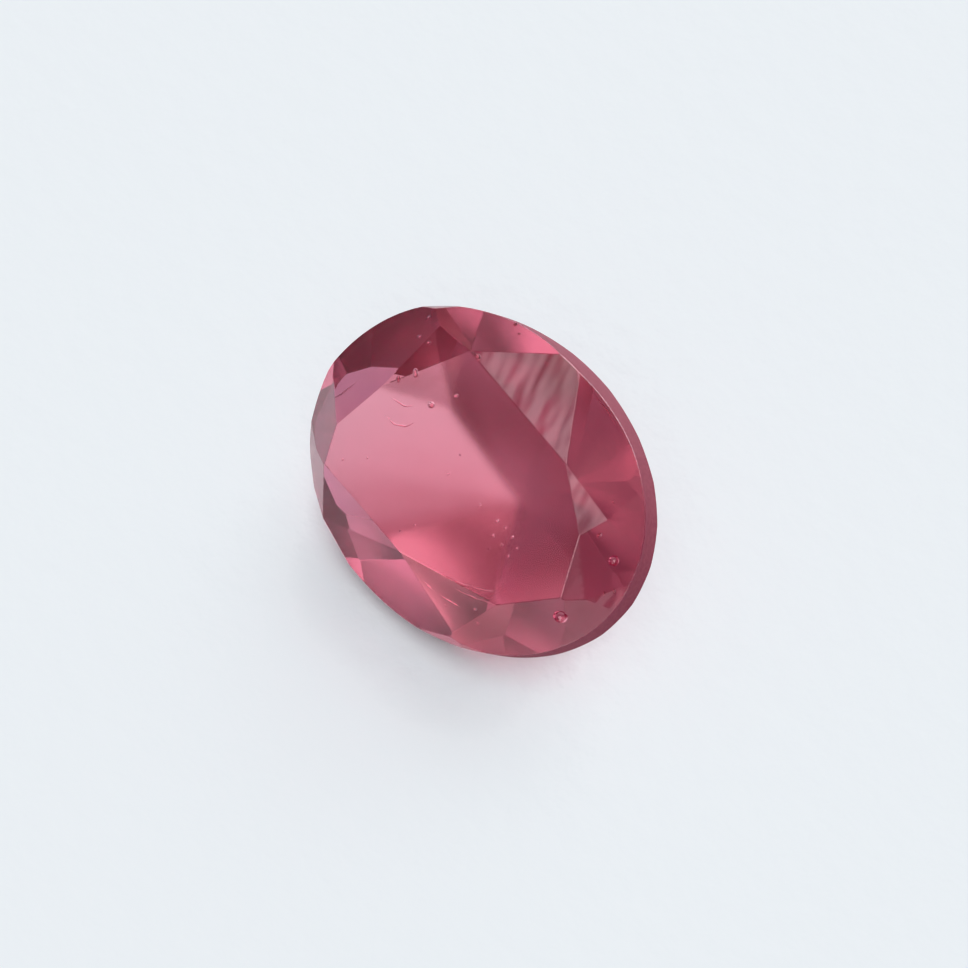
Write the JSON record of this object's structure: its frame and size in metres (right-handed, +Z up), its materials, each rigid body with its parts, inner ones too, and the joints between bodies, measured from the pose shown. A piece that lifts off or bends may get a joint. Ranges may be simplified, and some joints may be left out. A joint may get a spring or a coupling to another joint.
{
  "type": "ruby",
  "caption": "Loose oval-cut ruby gemstone with flat crown and pavilion facets, lying on a pavilion facet.",
  "frame": {"origin": "on the surface that the stone lies on, under the middle of its bounding box", "axes": "+Z up, +X along the stone's long axis, the table facet tilted 36 degrees towards -Y"},
  "size_m": [0.011, 0.0074, 0.0061],
  "materials": {
    "ruby": "polished see-through red crystal, slightly wavy polish, with bubbles and pits"
  },
  "bodies": {
    "root": {"ruby": "ruby"}
  },
  "joints": []
}
